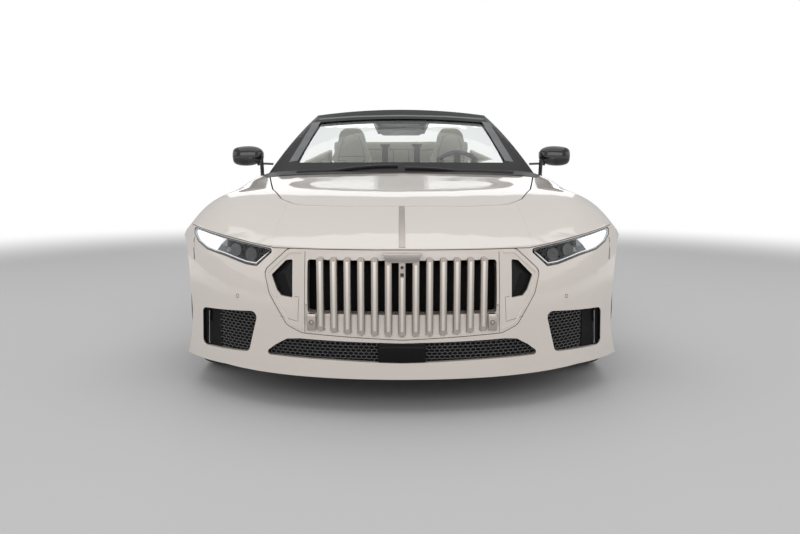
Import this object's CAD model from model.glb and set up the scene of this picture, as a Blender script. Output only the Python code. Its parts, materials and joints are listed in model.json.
import json
import math
import bmesh
import bpy
from mathutils import Matrix, Vector
from mathutils.bvhtree import BVHTree


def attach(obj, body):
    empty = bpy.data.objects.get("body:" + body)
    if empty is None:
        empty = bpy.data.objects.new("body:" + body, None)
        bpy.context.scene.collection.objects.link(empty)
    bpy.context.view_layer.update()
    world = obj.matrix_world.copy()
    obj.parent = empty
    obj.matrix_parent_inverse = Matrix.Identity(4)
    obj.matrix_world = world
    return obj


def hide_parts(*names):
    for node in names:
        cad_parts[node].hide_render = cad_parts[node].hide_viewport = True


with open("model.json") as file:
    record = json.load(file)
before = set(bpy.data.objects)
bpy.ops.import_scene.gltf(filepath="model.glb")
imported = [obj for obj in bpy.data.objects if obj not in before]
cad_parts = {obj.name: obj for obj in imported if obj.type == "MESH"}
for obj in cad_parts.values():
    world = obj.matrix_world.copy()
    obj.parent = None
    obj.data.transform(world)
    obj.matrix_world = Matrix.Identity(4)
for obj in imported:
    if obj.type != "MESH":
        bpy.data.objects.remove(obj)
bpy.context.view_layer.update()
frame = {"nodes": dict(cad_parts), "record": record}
nodes = frame["nodes"]
print("frame loaded:", len(nodes), "nodes")

# where the car's main points are, in metres
car = {"nose": -2.48, "frontAxle": -1.6, "rearAxle": 1.23, "halfTrack": 0.84, "wheelRadius": 0.335}
sides = (("Left", 1), ("Right", -1))
wheels = {
    # side, axle, the body that carries its brake
    "fl": (1, "frontAxle", "upright_fl"),
    "fr": (-1, "frontAxle", "upright_fr"),
    "rl": (1, "rearAxle", "chassis"),
    "rr": (-1, "rearAxle", "chassis"),
}
bodyOf = {"bonnet": "bonnet_lid", "boot_lid": "boot", "steering_wheel": "steering"}
for side in ("left", "right"):
    bodyOf["door_" + side] = bodyOf["mirror_" + side] = side + "_door"
for corner, (sign, axle, upright) in wheels.items():
    bodyOf["rim_" + corner] = "wheel_" + corner
    bodyOf["knuckle_" + corner] = upright

# Node groups: shades, grains and weaves that the materials share


def setInputs(node, values):
    for label, value in values.items():
        node.inputs[label.replace("_", " ")].default_value = value


def addNode(tree, kind, **values):
    node = tree.nodes.new("ShaderNode" + kind)
    setInputs(node, values)
    return node


def newGroup(name, colors, numbers, outputs):
    group = bpy.data.node_groups.new(name, "ShaderNodeTree")
    for label in colors:
        group.interface.new_socket(label, in_out="INPUT", socket_type="NodeSocketColor")
    for label, value in numbers.items():
        socket = group.interface.new_socket(label, in_out="INPUT", socket_type="NodeSocketFloat")
        socket.default_value = value
    for label in outputs:
        kind = "NodeSocketColor" if label == "Color" else "NodeSocketFloat"
        group.interface.new_socket(label, in_out="OUTPUT", socket_type=kind)
    return group, group.nodes.new("NodeGroupInput").outputs, group.nodes.new("NodeGroupOutput").inputs


def feed(tree, values, sockets):
    for value, socket in zip(values, sockets):
        if isinstance(value, bpy.types.NodeSocket):
            tree.links.new(value, socket)
        else:
            socket.default_value = value


def mixColor(tree, factor, first, second):
    node = addNode(tree, "Mix")
    node.data_type = "RGBA"
    feed(tree, (factor, first, second), (node.inputs[0], node.inputs[6], node.inputs[7]))
    return node.outputs[2]


def mathNode(tree, operation, first, second=0.0, third=0.0, clamp=False):
    node = addNode(tree, "Math")
    node.operation = operation
    node.use_clamp = clamp
    feed(tree, (first, second, third), node.inputs)
    return node.outputs[0]


def buildMottle():
    numbers = {"Scale": 6.0, "Rough Low": 0.3, "Rough High": 0.4, "Grain Scale": 400.0}
    group, start, end = newGroup("mottle", ("Color", "Deep Color"), numbers, ("Color", "Roughness", "Height"))
    place = addNode(group, "TexCoord").outputs["Object"]
    broad = addNode(group, "TexNoise", Detail=4)
    fine = addNode(group, "TexNoise", Detail=2)
    for node, scale in ((broad, "Scale"), (fine, "Grain Scale")):
        feed(group, (place, start[scale]), (node.inputs["Vector"], node.inputs["Scale"]))
    shade = mathNode(group, "MULTIPLY_ADD", broad.outputs[0], 2.0, -0.5, clamp=True)
    color = mixColor(group, shade, start["Color"], start["Deep Color"])
    span = mathNode(group, "SUBTRACT", start["Rough High"], start["Rough Low"])
    roughness = mathNode(group, "MULTIPLY_ADD", shade, span, start["Rough Low"])
    feed(group, (color, roughness, fine.outputs[0]), end)
    return group


def buildLeather():
    outputs = ("Color", "Roughness", "Height")
    group, start, end = newGroup("leatherGrain", ("Color", "Crease Color"), {"Pore Scale": 420.0}, outputs)
    place = addNode(group, "TexCoord").outputs["Object"]
    cells = addNode(group, "TexVoronoi")
    cells.feature = "DISTANCE_TO_EDGE"
    soft = addNode(group, "TexNoise", Scale=9, Detail=5)
    feed(group, (place, start["Pore Scale"]), (cells.inputs["Vector"], cells.inputs["Scale"]))
    feed(group, (place,), (soft.inputs["Vector"],))
    pore = mathNode(group, "MULTIPLY", cells.outputs["Distance"], 5.0, clamp=True)
    shade = mathNode(group, "MULTIPLY_ADD", soft.outputs[0], 0.5, 0.5)
    light = mathNode(group, "MULTIPLY", mathNode(group, "MULTIPLY_ADD", pore, 0.25, 0.75), shade, clamp=True)
    color = mixColor(group, light, start["Crease Color"], start["Color"])
    roughness = mathNode(group, "MULTIPLY_ADD", soft.outputs[0], 0.25, 0.35)
    feed(group, (color, roughness, pore), end)
    return group


def buildWeave():
    numbers = {"Thread Scale": 300.0}
    group, start, end = newGroup("weave", ("Color", "Shadow Color"), numbers, ("Color", "Height"))
    place = addNode(group, "TexCoord").outputs["Object"]
    waves = []
    for direction in ("X", "DIAGONAL"):
        wave = addNode(group, "TexWave", Distortion=1.5)
        wave.bands_direction = direction
        feed(group, (place, start["Thread Scale"]), (wave.inputs["Vector"], wave.inputs["Scale"]))
        waves.append(wave.outputs["Fac"])
    thread = mathNode(group, "MULTIPLY", *waves)
    color = mixColor(group, thread, start["Shadow Color"], start["Color"])
    feed(group, (color, thread), end)
    return group


groups = {"mottle": buildMottle(), "leather": buildLeather(), "weave": buildWeave()}

# Materials, by the slots of the record


def rgba(color):
    return (*color, 1.0)


def newMaterial(name, effect=None, bump=0.0, effectValues=None, **settings):
    material = bpy.data.materials.new(name)
    material.use_nodes = True
    tree = material.node_tree
    shader = tree.nodes["Principled BSDF"]
    setInputs(shader, settings)
    if effect:
        node = tree.nodes.new("ShaderNodeGroup")
        node.node_tree = groups[effect]
        setInputs(node, effectValues)
        tree.links.new(node.outputs["Color"], shader.inputs["Base Color"])
        if "Roughness" in node.outputs:
            tree.links.new(node.outputs["Roughness"], shader.inputs["Roughness"])
        if bump:
            relief = addNode(tree, "Bump", Strength=1.0, Distance=bump)
            tree.links.new(node.outputs["Height"], relief.inputs["Height"])
            tree.links.new(relief.outputs["Normal"], shader.inputs["Normal"])
    return material


def mottled(name, color, deep, low, high, scale, settings=None, grain=400.0, bump=0.0):
    values = {"Color": rgba(color), "Deep_Color": rgba(deep), "Rough_Low": low, "Rough_High": high}
    values.update(Scale=scale, Grain_Scale=grain)
    return newMaterial(name, "mottle", bump, values, **(settings or {}))


def leathery(name, color, crease):
    return newMaterial(name, "leather", 0.0002, {"Color": rgba(color), "Crease_Color": rgba(crease)})


def woven(name, color, shadow, scale, bump, roughness):
    values = {"Color": rgba(color), "Shadow_Color": rgba(shadow), "Thread_Scale": scale}
    return newMaterial(name, "weave", bump, values, Roughness=roughness, Sheen_Weight=0.2)


mottles = {
    # colour, deeper colour, roughness from and to, scale, the shader's own settings, grain, bump
    "body_paint": (
        (0.7, 0.64, 0.585), (0.685, 0.626, 0.573), 0.3, 0.36, 3.0,
        {"Coat Weight": 1.0, "Coat Roughness": 0.03}, 900.0, 0.00001,
    ),
    "satin_metal": ((0.54, 0.485, 0.44), (0.49, 0.44, 0.4), 0.2, 0.26, 1.5, {"Metallic": 0.9}),
    "ridge_metal": ((0.9, 0.84, 0.78), (0.84, 0.78, 0.72), 0.1, 0.16, 1.5, {"Metallic": 1.0}),
    "plate_grey": ((0.36, 0.33, 0.31), (0.32, 0.29, 0.27), 0.35, 0.45, 20.0, {"Metallic": 0.5}),
    "bright_metal": ((0.8, 0.8, 0.8), (0.72, 0.72, 0.73), 0.05, 0.12, 12.0, {"Metallic": 1.0}),
    "gloss_black": ((0.01, 0.01, 0.011), (0.016, 0.016, 0.017), 0.08, 0.14, 5.0, {"Coat Weight": 0.6}),
    "black_trim": ((0.02, 0.02, 0.021), (0.03, 0.03, 0.03), 0.42, 0.6, 14.0, {}, 900.0, 0.00015),
    "underbody": ((0.03, 0.03, 0.031), (0.046, 0.045, 0.044), 0.7, 0.9, 10.0, {}, 500.0, 0.0004),
    "lamp_white": (
        (0.92, 0.94, 0.97), (0.86, 0.88, 0.92), 0.2, 0.3, 30.0,
        {"Emission Color": (0.93, 0.96, 1.0, 1), "Emission Strength": 0.9},
    ),
    "red_lens": ((0.36, 0.006, 0.008), (0.26, 0.004, 0.006), 0.06, 0.12, 40.0, {"Coat Weight": 0.8}),
    "wheel_metal": ((0.27, 0.27, 0.28), (0.2, 0.2, 0.21), 0.2, 0.3, 8.0, {"Metallic": 0.9}),
    "brake_iron": ((0.34, 0.33, 0.32), (0.24, 0.23, 0.22), 0.28, 0.45, 60.0, {"Metallic": 1.0}),
    "tyre_rubber": ((0.022, 0.022, 0.022), (0.033, 0.032, 0.031), 0.62, 0.8, 18.0, {}, 700.0, 0.0003),
    "forged_steel": ((0.045, 0.045, 0.046), (0.075, 0.073, 0.07), 0.45, 0.65, 12.0, {}, 500.0, 0.0003),
    "cast_block": ((0.28, 0.28, 0.28), (0.2, 0.2, 0.2), 0.45, 0.62, 14.0, {"Metallic": 0.7}, 500.0, 0.0004),
    "exhaust_steel": ((0.46, 0.43, 0.39), (0.36, 0.33, 0.29), 0.24, 0.36, 10.0, {"Metallic": 1.0}),
    "lattice_grey": ((0.17, 0.17, 0.175), (0.14, 0.14, 0.145), 0.25, 0.35, 20.0),
    "void_black": (
        (0.004, 0.004, 0.004), (0.006, 0.006, 0.006), 0.6, 0.8, 20.0,
        {"Specular IOR Level": 0.15},
    ),
    "frame_black": (
        (0.006, 0.006, 0.007), (0.009, 0.009, 0.009), 0.24, 0.34, 5.0,
        {"Specular IOR Level": 0.12},
    ),
    "trim_grey": ((0.17, 0.18, 0.185), (0.14, 0.15, 0.155), 0.55, 0.7, 9.0, {}, 500.0, 0.0001),
    "satin_silver": ((0.55, 0.56, 0.57), (0.46, 0.47, 0.48), 0.25, 0.35, 12.0, {"Metallic": 0.8}),
    "seam_shadow": ((0.045, 0.042, 0.038), (0.035, 0.033, 0.03), 0.7, 0.8, 12.0),
    "calliper_paint": ((0.06, 0.06, 0.062), (0.05, 0.05, 0.05), 0.25, 0.35, 12.0, {"Coat Weight": 0.5}),
}
materials = {name: mottled(name, *row) for name, row in mottles.items()}
materials.update({
    "interior_leather": leathery("beigeLeather", (0.31, 0.3, 0.245), (0.24, 0.23, 0.19)),
    "dark_leather": leathery("darkLeather", (0.03, 0.028, 0.026), (0.014, 0.013, 0.012)),
    "belt_webbing": woven("beltWebbing", (0.03, 0.03, 0.032), (0.01, 0.01, 0.01), 260.0, 0.0003, 0.75),
    "carpet": woven("carpet", (0.33, 0.3, 0.26), (0.22, 0.2, 0.17), 190.0, 0.002, 0.95),
    "screen_glass": newMaterial(
        "screenGlass", Base_Color=(0.82, 0.85, 0.84, 1), Transmission_Weight=1.0, Roughness=0.0, IOR=1.2
    ),
    "lamp_glass": newMaterial(
        "lampGlass", Base_Color=(0.96, 0.97, 0.98, 1), Transmission_Weight=1.0, Roughness=0.0, IOR=1.2
    ),
    "mirror_glass": newMaterial(
        "mirrorGlass", Base_Color=(0.8, 0.82, 0.83, 1), Metallic=1.0, Roughness=0.02
    ),
})
print("materials made:", len(materials))

# Making and finishing pieces

scene = bpy.context.scene
weldDistance = 0.00002
slotOf = {row["node"]: row["material_slot"] for row in frame["record"]["subparts"]}
finishOf = {"windscreen_frame": "frame_black", "intake_mesh": "void_black", "radiator": "void_black"}


def placed(name, data):
    obj = bpy.data.objects.new(name, data)
    scene.collection.objects.link(obj)
    return obj


def meshObject(name, bm):
    mesh = bpy.data.meshes.new(name)
    bm.to_mesh(mesh)
    bm.free()
    return placed(name, mesh)


def dress(piece, look, body, angle):
    mesh = piece.data
    mesh.materials.clear()
    mesh.materials.append(materials[look])
    mesh.polygons.foreach_set("use_smooth", [True] * len(mesh.polygons))
    mesh.set_sharp_from_angle(angle=math.radians(angle))
    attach(piece, body)
    return piece


def newPiece(bm, name, slotName, body="chassis", angle=35, finish=None):
    bmesh.ops.recalc_face_normals(bm, faces=bm.faces)
    return dress(meshObject(name, bm), finish or slotName, body, angle)


def pieceOf(name, slotName, shape, *sizes, **look):
    # a piece that is one shape: its sizes go to the shape, its look to the piece
    bm = bmesh.new()
    shape(bm, *sizes)
    return newPiece(bm, name, slotName, **look)


def pairOf(name, slotName, tree, way, path, *sizes, **look):
    for side, sign in sides:
        pieceOf(name + side, slotName, strip, tree, way, sided(sign, path), *sizes, **look)


def merged(nodeName):
    bm = bmesh.new()
    bm.from_mesh(nodes[nodeName].data)
    bmesh.ops.remove_doubles(bm, verts=bm.verts, dist=weldDistance)
    return bm


def applyModifiers(obj):
    graph = bpy.context.evaluated_depsgraph_get()
    graph.update()
    shown = obj.evaluated_get(graph)
    mesh = bpy.data.meshes.new_from_object(shown, preserve_all_data_layers=True, depsgraph=graph)
    obj.modifiers.clear()
    obj.data = mesh


def smoothCopy(nodeName, angle=28):
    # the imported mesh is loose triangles, so a merged copy carries the smooth shading
    piece = meshObject(nodeName + "Skin", merged(nodeName))
    look = finishOf.get(nodeName, slotOf[nodeName])
    dress(piece, look, bodyOf.get(nodeName, "chassis"), angle)
    piece.modifiers.new("evenNormals", "WEIGHTED_NORMAL").keep_sharp = True
    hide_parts(nodeName)


def islandsOf(nodeName):
    # the separate solids of a node, each as its own mesh with its corners
    whole = merged(nodeName)
    seen = set()
    found = []
    for first in whole.faces:
        if first in seen:
            continue
        seen.add(first)
        group = [first]
        for face in group:
            near = [other for side in face.edges for other in side.link_faces]
            group += [other for other in dict.fromkeys(near) if other not in seen]
            seen.update(near)
        bm = bmesh.new()
        copies = {}
        for face in group:
            for vert in face.verts:
                if vert not in copies:
                    copies[vert] = bm.verts.new(vert.co)
            bm.faces.new([copies[vert] for vert in face.verts])
        axes = list(zip(*[vert.co for vert in bm.verts]))
        found.append((bm, Vector([min(axis) for axis in axes]), Vector([max(axis) for axis in axes])))
    whole.free()
    return found


# the nodes that have no curved skin, or that other pieces replace
plainNodes = (
    "headlamps tail_lamps tyre_fl tyre_fr tyre_rl tyre_rr front_seats rear_bench intake_mesh radiator hinges "
    "engine_block"
).split()
for name in nodes:
    nodes[name].data.materials.clear()
    nodes[name].data.materials.append(materials[finishOf.get(name, slotOf[name])])
    if name not in plainNodes:
        smoothCopy(name)
print("panels dressed")

# Shapes laid on the panels, placed by two measures across the way they are looked at

ways = {
    # where the rays start, and their heading
    "front": ((0, -4, 0), (0, 1, 0)),
    "rear": ((0, 4, 0), (0, -1, 0)),
    "top": ((0, 0, 3), (0, 0, -1)),
    "left": ((3, 0, 0), (-1, 0, 0)),
    "right": ((-3, 0, 0), (1, 0, 0)),
    "insideLeft": ((0, 0, 0), (1, 0, 0)),
    "insideRight": ((0, 0, 0), (-1, 0, 0)),
}
rayStep = 0.02


def treeOf(*objects):
    bm = bmesh.new()
    for obj in objects:
        bm.from_mesh(obj.data)
    tree = BVHTree.FromBMesh(bm)
    bm.free()
    return tree


def nodeTree(names):
    return treeOf(*[nodes[name] for name in names.split()])


def sided(sign, path):
    return [(sign * point[0], *point[1:]) for point in path]


def cast(tree, way, a, b):
    start, heading = (Vector(part) for part in ways[way])
    start += Vector((0, a, b) if heading.x else (a, 0, b) if heading.y else (a, b, 0))
    hit, normal = tree.ray_cast(start, heading)[:2]
    if hit is None:
        raise ValueError(f"nothing found looking {way} at {a:.3f} {b:.3f}")
    return hit, (-normal if normal.dot(heading) > 0 else normal)


def stepped(path, closed):
    path = [Vector(point) for point in path]
    points = []
    for one, two in zip(path, path[1:] + ([path[0]] if closed else [])):
        count = max(1, math.ceil((two - one).length / rayStep))
        points += [one.lerp(two, index / count) for index in range(count)]
    return points if closed else points + [path[-1]]


def joinRings(bm, rings, closed=False):
    count = len(rings[0])
    for one, two in list(zip(rings, rings[1:])) + ([(rings[-1], rings[0])] if closed else []):
        for index in range(count):
            after = (index + 1) % count
            bm.faces.new((one[index], one[after], two[after], two[index]))
    if not closed:
        bm.faces.new(rings[0][::-1])
        bm.faces.new(rings[-1])


def strip(bm, tree, way, path, width, proud, depth=0.001, closed=False):
    hits = [cast(tree, way, point[0], point[1]) for point in stepped(path, closed)]
    edge = proud * 0.6
    section = ((-0.5, -depth), (0.5, -depth), (0.5, edge), (0.32, proud), (-0.32, proud), (-0.5, edge))
    rings = []
    for index, (place, normal) in enumerate(hits):
        before = hits[index - 1][0] if index or closed else place
        after = hits[(index + 1) % len(hits)][0] if index + 1 < len(hits) or closed else place
        side = (after - before).cross(normal).normalized()
        rings.append([bm.verts.new(place + side * across * width + normal * out) for across, out in section])
    joinRings(bm, rings, closed)


def tube(bm, path, radius, flat=1.0, sides=10):
    path = [Vector(point) for point in path]
    turns = [math.tau * index / sides for index in range(sides)]
    up = Vector((0, 0, 1))
    rings = []
    for index, place in enumerate(path):
        along = (path[min(index + 1, len(path) - 1)] - path[max(index - 1, 0)]).normalized()
        side = along.cross(up)
        side = (side if side.length > 0.01 else along.orthogonal()).normalized()
        up = side.cross(along).normalized()
        ring = [side * math.cos(turn) + up * flat * math.sin(turn) for turn in turns]
        rings.append([bm.verts.new(place + out * radius) for out in ring])
    joinRings(bm, rings)


def patch(bm, tree, way, corners, steps, proud, depth=0.001):
    low, right, high, left = (Vector(corner) for corner in corners)
    columns, rows = steps
    grid = []
    for row in range(rows + 1):
        one, two = low.lerp(left, row / rows), right.lerp(high, row / rows)
        hits = [cast(tree, way, *one.lerp(two, column / columns)) for column in range(columns + 1)]
        line = [[bm.verts.new(place + normal * out) for out in (proud, -depth)] for place, normal in hits]
        grid.append(line)
    for one, two in zip(grid, grid[1:]):
        for pairs in zip(one, one[1:], two[1:], two):
            bm.faces.new([front for front, back in pairs])
            bm.faces.new([back for front, back in reversed(pairs)])
    rim = grid[0] + [line[-1] for line in grid[1:-1]] + grid[-1][::-1] + [line[0] for line in grid[-2:0:-1]]
    for one, two in zip(rim, rim[1:] + rim[:1]):
        bm.faces.new((two[0], one[0], one[1], two[1]))


def soften(bm, edges, offset, segments):
    bmesh.ops.bevel(
        bm, geom=list(edges), offset=offset, affect="EDGES", segments=segments, profile=0.5, material=-1
    )


def block(bm, low, high, bevel=0.0, segments=2):
    low, high = (Vector([pick(pair) for pair in zip(low, high)]) for pick in (min, max))
    matrix = Matrix.Translation((low + high) / 2) @ Matrix.Diagonal((*(high - low), 1))
    made = bmesh.ops.create_cube(bm, size=1.0, matrix=matrix)
    if bevel:
        soften(bm, {edge for vert in made["verts"] for edge in vert.link_edges}, bevel, segments)


def drum(bm, centre, axis, radius, depth, segments=32, top=None):
    turn = Vector(axis).to_track_quat("Z", "Y").to_matrix().to_4x4()
    bmesh.ops.create_cone(
        bm,
        cap_ends=True,
        segments=segments,
        radius1=radius,
        radius2=radius if top is None else top,
        depth=depth,
        matrix=Matrix.Translation(centre) @ turn,
    )


def turned(bm, profile, centre, axis, steps=32):
    # a closed outline of distances from the axis and places along it, spun into a ring
    centre, axis = Vector(centre), Vector(axis)
    side = axis.orthogonal().normalized()
    verts = [bm.verts.new(centre + side * away + axis * along) for away, along in profile]
    edges = [bm.edges.new(pair) for pair in zip(verts, verts[1:] + verts[:1])]
    geom = verts + edges
    bmesh.ops.spin(bm, geom=geom, cent=centre, axis=axis, angle=math.tau, steps=steps, use_merge=True)


noseForm = {
    "halfWidth": 1.03,
    "bow": 0.64,
    "round": 0.52,
    "top": 0.94,
    "lean": 0.05,
    "leanFrom": 0.41,
    "leanSpan": 0.27,
    "inset": 0.012,
}


def noseY(x, z):
    # place of the nose's skin along the car, as in the part's own sections
    share = abs(x) / noseForm["halfWidth"]
    bow = noseForm["bow"] * (noseForm["round"] * share ** 2 + (1 - noseForm["round"]) * share ** 4)
    over = max(0.0, z / noseForm["top"] - noseForm["leanFrom"]) / noseForm["leanSpan"]
    return car["nose"] + noseForm["inset"] + bow + noseForm["lean"] * over ** 2


# Lamps: lens, bowl, light guide and projectors are told apart by their width

noseSkin = nodeTree("front_bumper nose_panel front_wings grille_surround headlamps bonnet")
lampParts = {
    # slot, and the width above which an inner part is of this kind
    "bowl": ("gloss_black", 0.405),
    "lens": ("lamp_glass", 0.38),
    "guide": ("lamp_white", 0.1),
    "projector": ("black_trim", 0.0),
}
lampTrims = {
    # slot, width, how proud, path over the nose
    "lampGasket": (
        "gloss_black", 0.006, 0.0006,
        ((0.517, 0.634), (0.589, 0.5695), (0.6365, 0.5735), (0.7416, 0.598), (0.8405, 0.613), (0.896, 0.638)),
    ),
    "lampLine": (
        "bright_metal", 0.0045, 0.001,
        ((0.527, 0.632), (0.59, 0.578), (0.636, 0.582), (0.74, 0.606), (0.836, 0.621), (0.886, 0.643)),
    ),
    "cornerSlot": (
        "gloss_black", 0.009, 0.0008,
        ((0.926, 0.662), (0.93, 0.635), (0.928, 0.6), (0.92, 0.556)),
    ),
    "cornerGlint": ("bright_metal", 0.005, 0.0016, ((0.9295, 0.628), (0.9285, 0.604))),
}
for bm, low, high in islandsOf("headlamps"):
    kind = next(kind for kind, (slotName, least) in lampParts.items() if high.x - low.x > least)
    middle = abs(low.x + high.x) / 2
    side = "Left" if low.x > 0 else "Right"
    piece = newPiece(bm, f"lamp{kind.title()}{side}{round(middle * 1000)}", lampParts[kind][0], angle=30)
    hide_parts("headlamps")
for name, (slotName, width, proud, path) in lampTrims.items():
    pairOf(name, slotName, noseSkin, "front", path, width, proud)
tailLensBack = 2.393
for bm, low, high in islandsOf("tail_lamps"):
    side = "Left" if low.x > 0 else "Right"
    if high.y > tailLensBack:
        piece = newPiece(bm, "tailLens" + side, "red_lens")
    else:
        piece = newPiece(bm, "tailBody" + side, "gloss_black")
    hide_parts("tail_lamps")

# Nose strip, plate, sensors and the marks on the grille's frame

plate = {
    "outline": ((-0.055, 0.601), (0.055, 0.601), (0.078, 0.636), (-0.078, 0.636)),
    "depths": (-2.4835, -2.4385),
    "bevel": 0.003,
    "field": ((-0.064, -2.4845, 0.607), (0.064, -2.4825, 0.63), 0.0008),
}
ridge = {"bars": 13, "pitch": 0.053, "foot": 0.333, "footRise": 0.015, "reach": 0.318}
ridge.update(tops=(0.543, 0.592, 0.604), size=(0.01, 0.0024), nudge=0.0001)
barCamera = {
    "lens": ((0, -2.4805, 0.584), (0, 1, 0), 0.0065, 0.004, 24),
    "box": ((-0.007, -2.481, 0.548), (0.007, -2.478, 0.562), 0.001),
}
sensor = {
    "place": (0.355, 0.362),
    "half": (0.0175, 0.033),
    "front": 0.013,
    "back": 0.016,
    "bevel": 0.003,
    "ring": ((0.0065, 0), (0.01, 0), (0.0095, 0.002), (0.007, 0.002)),
}
marks = {
    # path over the nose, width, how proud
    "edge": (((0.383, 0.318), (0.383, 0.634)), 0.0022, 0.0004),
    "seam": (((0.423, 0.459), (0.406, 0.457), (0.411, 0.36), (0.484, 0.377)), 0.0015, 0.0004),
    "rim": (
        ((0.4, 0.631), (0.447, 0.63), (0.537, 0.549), (0.516, 0.468), (0.449, 0.355), (0.392, 0.329)),
        0.01, 0.0035,
    ),
}
parking = {
    "place": (0.676, 0.438),
    "ring": ((0.0065, -0.002), (0.0085, -0.002), (0.0085, 0.0004), (0.0065, 0.0004)),
}
noseLine = (((0, -1.896), (0, -2.404)), 0.026, 0.0025)
pieceOf("noseStrip", "satin_metal", strip, nodeTree("nose_panel"), "top", *noseLine)
bm = bmesh.new()
front, back = ([bm.verts.new((x, y, z)) for x, z in plate["outline"]] for y in plate["depths"])
joinRings(bm, (back, front))
soften(bm, [edge for edge in bm.edges if all(vert in front for vert in edge.verts)], plate["bevel"], 3)
newPiece(bm, "blankPlate", "satin_metal")
pieceOf("plateField", "satin_metal", block, *plate["field"], finish="plate_grey")
barTree = nodeTree("grille_bars")
bm = bmesh.new()
for index in range(ridge["bars"]):
    # the nudge keeps the rays off the edges of the bars' mesh
    count = index - (ridge["bars"] - 1) // 2
    x = ridge["pitch"] * count
    low = ridge["foot"] + ridge["footRise"] * (x / ridge["reach"]) ** 2
    path = [(x + ridge["nudge"], z) for z in (low, ridge["tops"][min(abs(count), 2)])]
    strip(bm, barTree, "front", path, *ridge["size"])
newPiece(bm, "barRidges", "satin_metal", finish="ridge_metal")
bm = bmesh.new()
drum(bm, *barCamera["lens"])
block(bm, *barCamera["box"])
newPiece(bm, "barCamera", "gloss_black")
for side, sign in sides:
    x, z = sensor["place"]
    front = noseY(x, z) - sensor["front"]
    wide, high = sensor["half"]
    low = (sign * x - wide, front, z - high)
    high = (sign * x + wide, noseY(x, z) + sensor["back"], z + high)
    pieceOf("sensorBlock" + side, "satin_metal", block, low, high, sensor["bevel"])
    middle = (sign * x, front, z)
    ring = (sensor["ring"], middle, (0, -1, 0), 24)
    pieceOf("sensorRing" + side, "satin_metal", turned, *ring, finish="trim_grey")
    bm = bmesh.new()
    for path, width, proud in (marks["edge"], marks["seam"]):
        strip(bm, noseSkin, "front", sided(sign, path), width, proud)
    newPiece(bm, "frameSeams" + side, "black_trim", finish="seam_shadow")
    path, width, proud = marks["rim"]
    pieceOf("frameRim" + side, "body_paint", strip, noseSkin, "front", sided(sign, path), width, proud)
    hit, normal = cast(noseSkin, "front", *sided(sign, [parking["place"]])[0])
    pieceOf("parkingRing" + side, "black_trim", turned, parking["ring"], hit, normal, finish="seam_shadow")

# Faceted dark windows in the pods beside the grille

pod = {
    "outline": (
        (0.4341, 0.6015), (0.4611, 0.597), (0.5203, 0.5376), (0.4968, 0.4798), (0.4794, 0.4595),
        (0.4331, 0.453),
    ),
    "depth": 0.017,
    "thick": 0.004,
    "tips": ((0.468, 0.548, 0.009), (0.452, 0.5, 0.013)),
}
for side, sign in sides:
    bm = bmesh.new()
    rim, back = (
        [bm.verts.new((sign * x, noseY(x, z) + pod["depth"] + inward, z)) for x, z in pod["outline"]]
        for inward in (0, pod["thick"])
    )
    bm.faces.new(back)
    tips = [bm.verts.new((sign * x, noseY(x, z) + deep, z)) for x, z, deep in pod["tips"]]
    for index, one in enumerate(rim):
        after = (index + 1) % len(rim)
        bm.faces.new((rim[after], one, back[index], back[after]))
        if index in (0, 1, 3, 4):
            bm.faces.new((one, rim[after], tips[index > 1]))
    bm.faces.new((rim[2], rim[3], tips[1], tips[0]))
    bm.faces.new((rim[5], rim[0], tips[0], tips[1]))
    newPiece(bm, "podWindow" + side, "gloss_black", angle=5, finish="frame_black")

# Lattices, boxes and blades of the intakes

frontTree = nodeTree("front_bumper nose_panel grille_surround intake_mesh grille_bars headlamps front_wings")
meshTree = nodeTree("intake_mesh")
cell = {"wide": 0.0205, "high": 0.0125, "low": 0.0045, "wall": 0.003, "proud": 0.007, "root": 0.001}
near = {"depth": 0.0005, "edge": 0.001}
latticeAreas = {
    # from left to right, from foot to top
    "Lower": (-0.56, 0.56, 0.2, 0.3),
    "Left": (0.57, 0.762, 0.19, 0.4),
    "Right": (-0.762, -0.57, 0.19, 0.4),
}
radar = {
    "box": ((-0.092, -2.47, 0.2095), (0.092, -2.44, 0.2845), 0.004, 3),
    "line": ((-0.088, -2.4712, 0.268), (0.088, -2.4695, 0.2695)),
}
intake = {
    "panel": ((0.765, 0.2), (0.868, 0.193), (0.864, 0.362), (0.761, 0.374)),
    "panelSize": ((6, 8), 0.002),
    "ringSize": (0.005, 0.01, 0.001, True),
    "bladeSize": (0.0035, 0.012),
    "ring": (
        (0.818, 0.35), (0.828, 0.358), (0.85, 0.354), (0.858, 0.345), (0.864, 0.205), (0.852, 0.198),
        (0.832, 0.201),
    ),
    "blade": ((0.82, 0.35), (0.826, 0.206)),
}


def seenOnMesh(x, z):
    hit, back = (tree.ray_cast(Vector((x, -4, z)), Vector((0, 1, 0)))[0] for tree in (frontTree, meshTree))
    return back if hit and back and abs(hit.y - back.y) < near["depth"] else None


def lattice(bm, left, right, foot, top):
    wide, high, low = cell["wide"], cell["high"], cell["low"]
    corners = ((-wide / 2, low), (0, high - low), (wide / 2, low), (wide / 2, -low))
    root = Vector((0, cell["root"], 0))
    out = Vector((0, -cell["proud"], 0))
    for row in range(int((top - foot) / high) + 2):
        for column in range(int((right - left) / wide) + 2):
            x = left + wide * (column + 0.5 * (row % 2))
            z = foot + high * row
            points = [seenOnMesh(x + a, z + b) for a, b in corners]
            for one, two in zip(points, points[1:]):
                if one is None or two is None or max(one.x, two.x) > right + near["edge"]:
                    continue
                side = (two - one).cross(Vector((0, -1, 0))).normalized() * cell["wall"] / 2
                section = (root - side, root + side, out + side / 3, out - side / 3)
                joinRings(bm, [[bm.verts.new(place + shift) for shift in section] for place in (one, two)])


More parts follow.
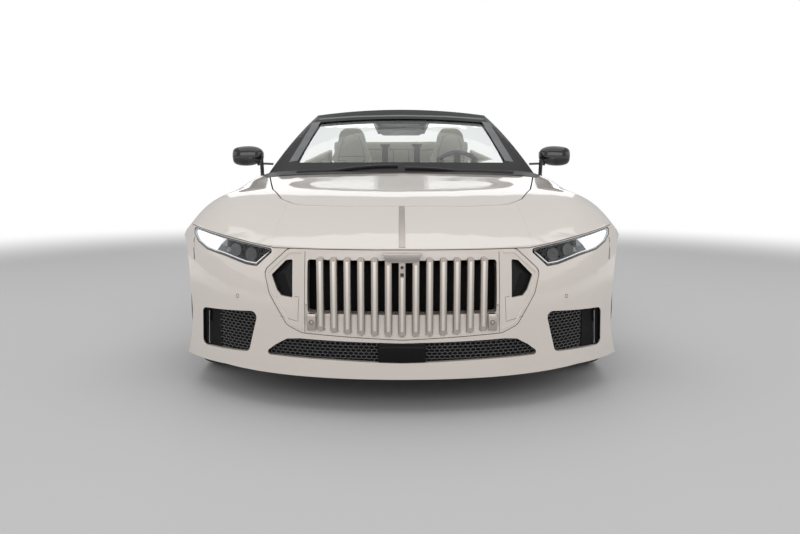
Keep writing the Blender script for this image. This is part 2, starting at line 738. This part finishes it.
for name, area in latticeAreas.items():
    pieceOf("lattice" + name, "black_trim", lattice, *area, finish="lattice_grey", angle=20)
pieceOf("radarBox", "gloss_black", block, *radar["box"], finish="frame_black")
pieceOf("radarLine", "black_trim", block, *radar["line"])
for side, sign in sides:
    panel, ring, blade = (sided(sign, intake[part]) for part in ("panel", "ring", "blade"))
    panel = (meshTree, "front", panel, *intake["panelSize"])
    pieceOf("intakePanel" + side, "gloss_black", patch, *panel, finish="void_black")
    ring = (meshTree, "front", ring, *intake["ringSize"])
    pieceOf("intakeRing" + side, "gloss_black", strip, *ring, finish="frame_black")
    pieceOf("intakeBlade" + side, "bright_metal", strip, meshTree, "front", blade, *intake["bladeSize"])
print("nose dressed")

# Tyres with grooves, and brake discs

tyre = {
    "tread": (0.06, 0.022),
    "groove": (0.0045, 0.0065),
    "side": ((0.106, 0.258), (0.117, 0.274), (0.1215, 0.29), (0.1222, 0.298), (0.119, 0.312), (0.111, 0.324)),
    "shoulder": ((0.101, 0.3305), (0.09, 0.3342)),
    "inner": ((0.1, 0.255), (0.108, 0.285), (0.1, 0.312), (0.06, 0.323)),
    "steps": 180,
    "sipes": {"radius": 0.3295, "from": 0.062, "every": 3, "depth": 0.005},
}
brake = {"disc": (0.105, 0.186), "place": 0.868, "half": 0.012, "slot": (0.156, 0.004)}
half = list(tyre["side"]) + list(tyre["shoulder"])
width, deep = tyre["groove"]
reach = car["wheelRadius"]
for place in tyre["tread"]:
    half += [(place + width, reach), (place + width * 0.7, reach - deep)]
    half += [(place - width * 0.7, reach - deep), (place - width, reach)]
outline = half + [(-x, r) for x, r in reversed(half)]
outline += [(-x, r) for x, r in tyre["inner"]] + [(x, r) for x, r in reversed(tyre["inner"])]
inner, outer = brake["disc"]
groove, gap = brake["slot"]
far = brake["half"]
disc = [(inner, -far), (outer, -far), (outer, -gap), (groove, -gap)]
disc += [(r, -x) for r, x in reversed(disc)]
sipes = tyre["sipes"]
for corner, (sign, axle, upright) in wheels.items():
    centre = Vector((sign * car["halfTrack"], car[axle], car["wheelRadius"]))
    bm = bmesh.new()
    turned(bm, [(r, x) for x, r in outline], centre, (1, 0, 0), tyre["steps"])
    for vert in bm.verts:
        away = vert.co - centre
        radius = math.hypot(away.y, away.z)
        turn = round(math.atan2(away.z, away.y) / math.tau * tyre["steps"])
        if radius > sipes["radius"] and abs(away.x) > sipes["from"] and turn % sipes["every"] == 0:
            vert.co.y -= away.y / radius * sipes["depth"]
            vert.co.z -= away.z / radius * sipes["depth"]
    piece = newPiece(bm, "tyreTread" + corner.upper(), "tyre_rubber", "wheel_" + corner, 30)
    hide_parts("tyre_" + corner)
    hub = (sign * brake["place"], car[axle], car["wheelRadius"])
    body = "wheel_" + corner
    pieceOf("brakeDisc" + corner.upper(), "brake_iron", turned, disc, hub, (1, 0, 0), 64, body=body)
print("wheels dressed")

# Mirrors, screen trim and wipers

screen = {
    "pillar": ((0.648, 0.987), (0.625, 1.05), (0.605, 1.1), (0.59, 1.15), (0.572, 1.2), (0.562, 1.245)),
    "header": ((0.55, 1.268), (0.3, 1.28), (0.0, 1.284), (-0.3, 1.28), (-0.55, 1.268)),
    "wipers": (((0.64, -0.905), (0.02, -0.93)), ((-0.02, -0.905), (-0.6, -0.89))),
    "wiper": (0.012, 0.012, 0.0),
    "mirror": ((0.895, 0.985), (1.03, 0.995), (1.03, 1.058), (0.895, 1.062)),
    "mirrorSize": ((6, 4), 0.001),
    "pillarTrim": (0.05, 0.004),
    "headerTrim": (0.04, 0.004),
    "pillarBand": (0.055, 0.0008),
    "headerBand": (0.03, 0.0008),
}
frameTree = nodeTree("windscreen_frame")
wiperTree = nodeTree("windscreen_frame cowl windscreen_glass")
pillar, header = screen["pillar"], screen["header"]
pairOf("pillarTrim", "black_trim", frameTree, "rear", pillar, *screen["pillarTrim"], finish="trim_grey")
headerTrim = (frameTree, "rear", header, *screen["headerTrim"])
pieceOf("headerTrim", "black_trim", strip, *headerTrim, finish="trim_grey")
bm = bmesh.new()
for path, size in ((pillar, "pillarBand"), (sided(-1, pillar), "pillarBand"), (header, "headerBand")):
    strip(bm, frameTree, "front", path, *screen[size])
newPiece(bm, "screenBand", "gloss_black", finish="trim_grey")
for index, path in enumerate(screen["wipers"]):
    pieceOf(f"wiper{index}", "black_trim", strip, wiperTree, "top", path, *screen["wiper"])
for side, sign in sides:
    tree = nodeTree("mirror_" + side.lower())
    glass = (tree, "rear", sided(sign, screen["mirror"]), *screen["mirrorSize"])
    pieceOf("mirrorGlass" + side, "mirror_glass", patch, *glass, body=side.lower() + "_door")
print("screen dressed")

# Seats and bench: soft forms, swollen from the frame's own

cushions = {"voxel": 0.01, "smoothing": 14, "shrink": 0.003, "pressure": 4.0, "frames": 20, "cap": 0.008}


def stuffed(bm, name, slotName="interior_leather"):
    bmesh.ops.recalc_face_normals(bm, faces=bm.faces)
    piece = meshObject(name, bm)
    remesh = piece.modifiers.new("voxels", "REMESH")
    remesh.mode = "VOXEL"
    remesh.voxel_size = cushions["voxel"]
    applyModifiers(piece)
    bm = bmesh.new()
    bm.from_mesh(piece.data)
    bm.normal_update()
    axes = {"use_axis_x": True, "use_axis_y": True, "use_axis_z": True}
    for turn in range(cushions["smoothing"]):
        bmesh.ops.smooth_vert(bm, verts=bm.verts, factor=0.5, **axes)
    bm.normal_update()
    for vert in bm.verts:
        vert.co -= vert.normal * cushions["shrink"]
    bm.to_mesh(piece.data)
    bm.free()
    before = [vert.co.copy() for vert in piece.data.vertices]
    cloth = piece.modifiers.new("stuffing", "CLOTH")
    cloth.settings.use_pressure = True
    cloth.settings.uniform_pressure_force = cushions["pressure"]
    cloth.settings.effector_weights.gravity = 0
    cloth.point_cache.frame_start = 1
    cloth.point_cache.frame_end = cushions["frames"]
    for frameNumber in range(1, cushions["frames"] + 1):
        scene.frame_set(frameNumber)
    applyModifiers(piece)
    for vert, start in zip(piece.data.vertices, before):
        moved = vert.co - start
        if moved.length > cushions["cap"]:
            vert.co = start + moved.normalized() * cushions["cap"]
    scene.frame_set(1)
    smooth = piece.modifiers.new("smooth", "SUBSURF")
    smooth.levels = 1
    smooth.render_levels = 1
    applyModifiers(piece)
    dress(piece, slotName, "chassis", 60)
    return piece


seats = {}
for bm, low, high in islandsOf("front_seats"):
    side = "Left" if low.x > 0 else "Right"
    part = "Back" if high.z > 0.9 else "Cushion"
    piece = stuffed(bm, f"seat{part}{side}")
    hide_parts("front_seats")
    seats[part + side] = piece
for bm, low, high in islandsOf("rear_bench"):
    bench = stuffed(bm, "benchPadding")
    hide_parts("rear_bench")
print("cushions stuffed")

# Seams of the seats and the bench, and the belts of the bench

seams = {
    "Back": (
        ((-0.165, 0.62), (-0.17, 0.8), (-0.14, 0.9), (-0.102, 1), (-0.078, 1.1), (-0.055, 1.17), (0, 1.19)),
        ((-0.1, 1.02), (0.0, 1.025)),
        ((-0.09, 0.63), (-0.075, 0.97)),
        ((-0.03, 0.63), (-0.026, 0.98)),
    ),
    "Cushion": (
        ((-0.175, 0.31), (-0.175, -0.13), (0.0, -0.13)),
        ((-0.09, -0.1), (-0.09, 0.3)),
        ((-0.03, -0.1), (-0.03, 0.3)),
    ),
    "bench": [((-0.48, 1.08), (0.48, 1.08))] + [((x, 0.55), (x, 1.07)) for x in (-0.255, -0.06, 0.06, 0.255)],
    "seat": 0.37,
    "piping": (0.0035, 0.0006, 0.003),
}
belt = {
    "x": 0.126,
    "foot": 0.54,
    "top": 1.11,
    "webbing": (0.046, 0.004),
    "guide": ((-0.036, -0.009, -0.008), (0.036, 0.004, 0.012)),
    "guideBevel": 0.003,
}
for side, sign in sides:
    middle = sign * seams["seat"]
    for part, way in (("Back", "front"), ("Cushion", "top")):
        tree = treeOf(seats[part + side])
        bm = bmesh.new()
        for path in seams[part]:
            for turn in (1, -1):
                strip(bm, tree, way, [(middle + turn * a, b) for a, b in path], *seams["piping"])
        newPiece(bm, f"seam{part}{side}", "dark_leather", finish="seam_shadow")
benchTree = treeOf(bench)
bm = bmesh.new()
for path in seams["bench"]:
    strip(bm, benchTree, "front", path, *seams["piping"])
newPiece(bm, "benchSeams", "dark_leather", finish="seam_shadow")
for side, sign in sides:
    x = sign * belt["x"]
    path = ((x, belt["foot"]), (x, belt["top"]))
    pieceOf("benchBelt" + side, "belt_webbing", strip, benchTree, "front", path, *belt["webbing"])
    hit, normal = cast(benchTree, "front", x, belt["top"])
    low, high = (hit + Vector(corner) for corner in belt["guide"])
    pieceOf("beltGuide" + side, "black_trim", block, low, high, belt["guideBevel"])

# Side trims of the rear cabin and arms of the mirrors

rearTrim = {
    "box": ((0.545, 0.64, 0.46), (0.776, 0.935, 1.04)),
    "tops": (1.09, 0.985),
    "inside": 0.6,
    "frontDrop": 0.03,
    "round": 0.028,
}
arm = {
    "path": ((0.9, -0.45, 0.966), (0.88, -0.45, 0.972), (0.85, -0.45, 0.973), (0.803, -0.45, 0.971)),
    "radius": 0.01,
    "flat": 0.7,
}
for side, sign in sides:
    bm = bmesh.new()
    block(bm, *sided(sign, rearTrim["box"]))
    for vert in bm.verts:
        if vert.co.z > 1:
            vert.co.z = rearTrim["tops"][abs(vert.co.x) > rearTrim["inside"]]
            vert.co.z -= rearTrim["frontDrop"] if vert.co.y < 0.7 else 0.0
    soften(bm, bm.edges, rearTrim["round"], 5)
    newPiece(bm, "rearSideTrim" + side, "interior_leather")
    path = sided(sign, arm["path"])
    body = side.lower() + "_door"
    pieceOf("mirrorArm" + side, "gloss_black", tube, path, arm["radius"], arm["flat"], 16, body=body)

# Covers over the pockets of the upper hinges, at the doors' front edges

hingeCover = {
    "outline": (
        (0.9758, -0.857, 0.7215), (0.9742, -0.761, 0.7215), (0.9688, -0.761, 0.741),
        (0.9608, -0.761, 0.759), (0.9616, -0.857, 0.759), (0.97, -0.857, 0.741),
    ),
    "shifts": (0.0008, -0.0025),
}
for side, sign in sides:
    bm = bmesh.new()
    outline = hingeCover["outline"]
    rings = [[bm.verts.new((sign * (x + out), y, z)) for x, y, z in outline] for out in hingeCover["shifts"]]
    joinRings(bm, rings)
    newPiece(bm, "hingeCover" + side, "body_paint", side.lower() + "_door")

# Dashboard and console

dash = {
    "pad": (((-0.6, -0.775), (0.6, -0.775), (0.56, -0.405), (-0.56, -0.405)), (12, 6), 0.003),
    "binnacle": ((0.235, -0.48, 0.885), (0.505, -0.388, 0.948), 0.014, 4),
    "dials": ((0.255, -0.3895, 0.86), (0.485, -0.3855, 0.936), 0.0012),
    "centre": ((-0.165, -0.4, 0.775), (0.165, -0.389, 0.885), 0.0012),
    "line": ((-0.64, -0.4185, 0.826), (0.64, -0.4015, 0.832), 0.001),
}
vent = {
    "places": (-0.54, -0.23, 0.205, 0.548),
    "ring": ((0.03, -0.003), (0.036, -0.003), (0.036, 0.004), (0.032, 0.006)),
    "centre": (-0.397, 0.858),
    "slats": (-0.012, 0.0, 0.012),
    "slat": ((-0.028, -0.002, -0.001), (0.028, 0.003, 0.001)),
    "dark": ((0, 1, 0), 0.031, 0.003),
    "darkBack": 0.0005,
}
console = {
    "panel": (((-0.07, -0.42), (0.07, -0.42), (0.07, 0.06), (-0.07, 0.06)), (4, 16), 0.002),
    "rings": (-0.3, -0.2),
    "ring": ((0.036, 0), (0.041, 0), (0.04, 0.005), (0.037, 0.005)),
    "selector": (
        ((0, -0.06, 0.6), (0, 0, 1), 0.02, 0.045, 24, 0.014),
        ((0, -0.06, 0.63), (0, 0, 1), 0.019, 0.018, 24, 0.022),
    ),
    "armrest": ((-0.086, 0.115, 0.568), (0.086, 0.45, 0.622), 0.018, 4),
}
pieceOf("dashPad", "dark_leather", patch, nodeTree("dashboard"), "top", *dash["pad"])
pieceOf("binnacle", "dark_leather", block, *dash["binnacle"])
for name in ("dials", "centre"):
    pieceOf(name + "Screen", "gloss_black", block, *dash[name])
pieceOf("dashLine", "satin_metal", block, *dash["line"], finish="satin_silver")
for index, x in enumerate(vent["places"]):
    bm = bmesh.new()
    middle = Vector((x, *vent["centre"]))
    turned(bm, vent["ring"], middle, (0, 1, 0))
    for rise in vent["slats"]:
        low, high = (middle + Vector(corner) + Vector((0, 0, rise)) for corner in vent["slat"])
        block(bm, low, high)
    newPiece(bm, f"vent{index}", "satin_metal", finish="satin_silver")
    middle.y -= vent["darkBack"]
    pieceOf(f"ventDark{index}", "black_trim", drum, middle, *vent["dark"])
consoleTree = nodeTree("console")
pieceOf("consolePanel", "gloss_black", patch, consoleTree, "top", *console["panel"])
for index, y in enumerate(console["rings"]):
    hit, normal = cast(consoleTree, "top", 0, y)
    pieceOf(f"cupRing{index}", "satin_metal", turned, console["ring"], hit, normal, finish="satin_silver")
bm = bmesh.new()
for part in console["selector"]:
    drum(bm, *part)
newPiece(bm, "selector", "satin_metal", finish="satin_silver")
bm = bmesh.new()
block(bm, *console["armrest"])
stuffed(bm, "consoleArmrest")

# Door trims, pedals, carpets and the steering wheel's spokes

doorTrim = {
    "panel": (((-0.69, 0.47), (0.43, 0.47), (0.43, 0.835), (-0.69, 0.82)), (16, 10), 0.008),
    "line": (((-0.64, 0.78), (0.38, 0.79)), 0.012, 0.011),
    "rest": ((0.8, -0.34, 0.665), (0.85, 0.26, 0.705)),
    "restSize": (0.012, 3),
    "latch": ((0.842, -0.46, 0.752), (0.829, -0.44, 0.752), (0.829, -0.37, 0.752), (0.842, -0.35, 0.752)),
    "latchSize": 0.006,
    "speaker": (-0.48, 0.585),
    "speakerOut": 0.006,
    "face": (0.067, 0.003, 48),
    "ring": ((0.066, 0), (0.074, 0), (0.073, 0.006), (0.068, 0.006)),
    "handle": (((0.215, 0.792), (0.385, 0.8)), 0.022, 0.007),
    "sill": (((-0.8, 0.215), (0.6, 0.215)), 0.03, 0.004),
}
pedals = {
    "pads": (((0.3, -0.7, 0.3), (0.385, -0.69, 0.35)), ((0.44, -0.705, 0.225), (0.49, -0.693, 0.34))),
    "arm": ((0.002, -0.01), (-0.04, 0.47), (-0.03, 0.6)),
    "armSize": (0.007, 0.6),
    "bevel": 0.003,
}
mats = {
    "edges": ((0.125, -0.78, 0.7, -0.2), (0.125, 0.44, 0.6, 0.6)),
    "heights": (0.179, 0.187),
    "bevel": 0.003,
}
spoke = {"paths": (((0.23, 0.872), (0.315, 0.872)), ((0.425, 0.872), (0.51, 0.872))), "size": (0.024, 0.0025)}
sillTree = nodeTree("sills")
for side, sign in sides:
    way = "inside" + side
    outside = side.lower()
    tree = nodeTree("door_" + outside)
    body = outside + "_door"
    silver = {"body": body, "finish": "satin_silver"}
    pieceOf("doorTrim" + side, "interior_leather", patch, tree, way, *doorTrim["panel"], body=body)
    pieceOf("doorLine" + side, "satin_metal", strip, tree, way, *doorTrim["line"], **silver)
    rest = (*sided(sign, doorTrim["rest"]), *doorTrim["restSize"])
    pieceOf("doorRest" + side, "interior_leather", block, *rest, body=body)
    latch = (sided(sign, doorTrim["latch"]), doorTrim["latchSize"])
    pieceOf("doorLatch" + side, "bright_metal", tube, *latch, body=body)
    hit, normal = cast(tree, way, *doorTrim["speaker"])
    hit += normal * doorTrim["speakerOut"]
    pieceOf("speakerRing" + side, "satin_metal", turned, doorTrim["ring"], hit, normal, 48, **silver)
    hit += normal * doorTrim["face"][1] / 2
    pieceOf("speakerFace" + side, "black_trim", drum, hit, normal, *doorTrim["face"], body=body)
    pieceOf("doorHandle" + side, "body_paint", strip, tree, outside, *doorTrim["handle"], body=body)
    pieceOf("sillStrip" + side, "black_trim", strip, sillTree, outside, *doorTrim["sill"])
bm = bmesh.new()
for low, high in pedals["pads"]:
    block(bm, low, high, pedals["bevel"])
    x = (low[0] + high[0]) / 2
    (inset, drop), *rest = pedals["arm"]
    path = [(x, low[1] + inset, high[2] + drop)] + [(x, low[1] + back, z) for back, z in rest]
    tube(bm, path, *pedals["armSize"])
newPiece(bm, "pedals", "forged_steel", finish="satin_silver")
foot, top = mats["heights"]
for side, sign in sides:
    bm = bmesh.new()
    for inner, front, outer, back in mats["edges"]:
        block(bm, (sign * inner, front, foot), (sign * outer, back, top), mats["bevel"])
    newPiece(bm, "carpet" + side, "carpet")
spokeTree = nodeTree("steering_wheel")
bm = bmesh.new()
for way in ("front", "rear"):
    for path in spoke["paths"]:
        strip(bm, spokeTree, way, path, *spoke["size"])
newPiece(bm, "spokeTrims", "satin_metal", "steering", finish="satin_silver")
print("cabin dressed")

# Wheel caps, bolts and callipers

cap = {"out": 0.003, "size": (0.034, 0.008, 40, 0.03)}
bolt = {"count": 5, "circle": 0.05, "out": 0.002, "size": (0.0085, 0.01, 6)}
calliper = {"reach": (0.15, 0.205), "half": 0.022, "steps": 9, "angle": 7, "frontAxle": -28, "rearAxle": 152}
for corner, (sign, axle, upright) in wheels.items():
    centre = Vector((sign * car["halfTrack"], car[axle], car["wheelRadius"]))
    tree = nodeTree("rim_" + corner)
    way = "left" if sign > 0 else "right"
    out = Vector((sign, 0, 0))
    body = "wheel_" + corner
    hit, normal = cast(tree, way, centre.y, centre.z)
    hit += out * cap["out"]
    pieceOf("wheelCap" + corner.upper(), "gloss_black", drum, hit, out, *cap["size"], body=body)
    bm = bmesh.new()
    for index in range(bolt["count"]):
        turn = math.tau * (index + 0.5) / bolt["count"]
        y, z = centre.y + bolt["circle"] * math.cos(turn), centre.z + bolt["circle"] * math.sin(turn)
        place, normal = cast(tree, way, y, z)
        drum(bm, place + out * bolt["out"], out, *bolt["size"])
    newPiece(bm, "wheelBolts" + corner.upper(), "forged_steel", body)
    low, high = calliper["reach"]
    half = calliper["half"]
    middle = Vector((sign * brake["place"], centre.y, centre.z))
    bm = bmesh.new()
    rings = []
    for index in range(calliper["steps"]):
        turn = math.radians(calliper[axle] + calliper["angle"] * index)
        away = Vector((0, math.cos(turn), math.sin(turn)))
        section = ((-half, low), (-half, high), (half, high), (half, low))
        rings.append([bm.verts.new(middle + Vector((a, 0, 0)) + away * reach) for a, reach in section])
    joinRings(bm, rings)
    newPiece(bm, "calliper" + corner.upper(), "brake_iron", upright, finish="calliper_paint")

# Rear: plate recess, lamps, handle, diffuser and sensors

rearPatches = {
    # slot, look, how proud, corners
    "plateRecess": ("black_trim", None, 0.0015, ((-0.28, 0.47), (0.28, 0.47), (0.27, 0.61), (-0.27, 0.61))),
    "plateBlank": (
        "satin_metal", "satin_silver", 0.004,
        ((-0.255, 0.485), (0.255, 0.485), (0.255, 0.595), (-0.255, 0.595)),
    ),
    "diffuser": ("black_trim", None, 0.003, ((-0.6, 0.16), (0.6, 0.16), (0.56, 0.275), (-0.56, 0.275))),
}
rear = {
    "fins": (-0.34, -0.12, 0.12, 0.34),
    "fin": (0.165, 0.27),
    "finSize": (0.008, 0.022),
    "reflector": (((0.7, 0.33), (0.86, 0.338)), 0.016, 0.002),
    "sensors": (0.35, 0.68),
    "sensorHeight": 0.4,
    "brakeStrip": (((-0.22, 0.878), (0.22, 0.878)), 0.01, 0.002),
    "bootHandle": (((-0.16, 0.722), (0.16, 0.722)), 0.018, 0.005),
}
rearTree = nodeTree("rear_bumper")
bootTree = nodeTree("boot_lid")
for name, (slotName, look, proud, corners) in rearPatches.items():
    pieceOf(name, slotName, patch, rearTree, "rear", corners, (20, 6), proud, finish=look)
bm = bmesh.new()
for x in rear["fins"]:
    strip(bm, rearTree, "rear", [(x, z) for z in rear["fin"]], *rear["finSize"])
newPiece(bm, "diffuserFins", "black_trim")
pairOf("rearReflector", "red_lens", rearTree, "rear", *rear["reflector"])
bm = bmesh.new()
for x in rear["sensors"]:
    for sign in (1, -1):
        hit, normal = cast(rearTree, "rear", sign * x, rear["sensorHeight"])
        turned(bm, parking["ring"], hit, normal, 24)
newPiece(bm, "rearSensors", "black_trim", finish="seam_shadow")
pieceOf("brakeStrip", "red_lens", strip, bootTree, "rear", *rear["brakeStrip"], body="boot")
pieceOf("bootHandle", "bright_metal", strip, bootTree, "rear", *rear["bootHandle"], body="boot")
print("rear dressed")

# Camera, lights and stage

view = {"focal": 36.0, "sensor": 36.0, "place": (-0.008, -5.51, 0.985), "pitch": 7.5}
camera = bpy.data.cameras.new("camera")
camera.lens = view["focal"]
camera.sensor_width = view["sensor"]
scene.camera = placed("camera", camera)
scene.camera.location = view["place"]
scene.camera.rotation_euler = (math.radians(90 - view["pitch"]), 0, 0)

stage = {"reach": 40.0, "grey": (0.56, 0.56, 0.565), "fadeStart": 4.2, "fadeEnd": 7.5, "skyLight": 0.5}
bm = bmesh.new()
bmesh.ops.create_circle(bm, cap_ends=True, segments=96, radius=stage["reach"])
floor = meshObject("floor", bm)


def floorMaterial():
    material = bpy.data.materials.new("floor")
    material.use_nodes = True
    tree = material.node_tree
    shader = tree.nodes["Principled BSDF"]
    setInputs(shader, {"Base Color": rgba(stage["grey"]), "Roughness": 0.7})
    length = addNode(tree, "VectorMath")
    length.operation = "LENGTH"
    tree.links.new(addNode(tree, "TexCoord").outputs["Object"], length.inputs[0])
    fade = addNode(tree, "MapRange", From_Min=stage["fadeStart"], From_Max=stage["fadeEnd"])
    fade.interpolation_type = "SMOOTHSTEP"
    tree.links.new(length.outputs["Value"], fade.inputs["Value"])
    rays = addNode(tree, "LightPath").outputs
    seen = mathNode(tree, "MAXIMUM", rays["Is Camera Ray"], rays["Is Glossy Ray"])
    seen = mathNode(tree, "MAXIMUM", seen, rays["Is Transmission Ray"])
    mix = addNode(tree, "MixShader")
    glow = addNode(tree, "Emission")
    share = mathNode(tree, "MULTIPLY", seen, fade.outputs[0])
    feed(tree, (share, shader.outputs[0], glow.outputs[0]), mix.inputs)
    tree.links.new(mix.outputs[0], tree.nodes["Material Output"].inputs["Surface"])
    return material


floor.data.materials.append(floorMaterial())

world = bpy.data.worlds.new("studio")
scene.world = world
world.use_nodes = True
tree = world.node_tree
background = tree.nodes["Background"]
background.inputs["Color"].default_value = (1, 1, 1, 1)
rays = addNode(tree, "LightPath").outputs
seen = mathNode(tree, "MAXIMUM", rays["Is Camera Ray"], rays["Is Transmission Ray"])
sky = mathNode(tree, "MULTIPLY_ADD", seen, 1.0 - stage["skyLight"], stage["skyLight"])
tree.links.new(sky, background.inputs["Strength"])

lamps = {
    # place, the point aimed at, size, power
    "top": ((0, -0.4, 5.0), (0, -0.4, 0.6), (6.0, 8.0), 112),
    "front": ((0, -8.5, 3.0), (0, -2.0, 0.5), (9.0, 3.5), 150),
    "left": ((6.0, -1.5, 2.6), (0, -1.0, 0.6), (7.0, 3.0), 55),
    "right": ((-6.0, -1.5, 2.6), (0, -1.0, 0.6), (7.0, 3.0), 55),
    "rear": ((0, 8.0, 3.0), (0, 1.5, 0.6), (7.0, 3.0), 60),
}
for name, (place, aim, size, power) in lamps.items():
    light = bpy.data.lights.new(name, "AREA")
    light.shape = "RECTANGLE"
    light.size, light.size_y = size
    light.energy = power
    lamp = placed(name, light)
    lamp.location = place
    lamp.rotation_euler = (Vector(aim) - Vector(place)).to_track_quat("-Z", "Y").to_euler()
scene.view_settings.view_transform = "Standard"
print("stage lit")
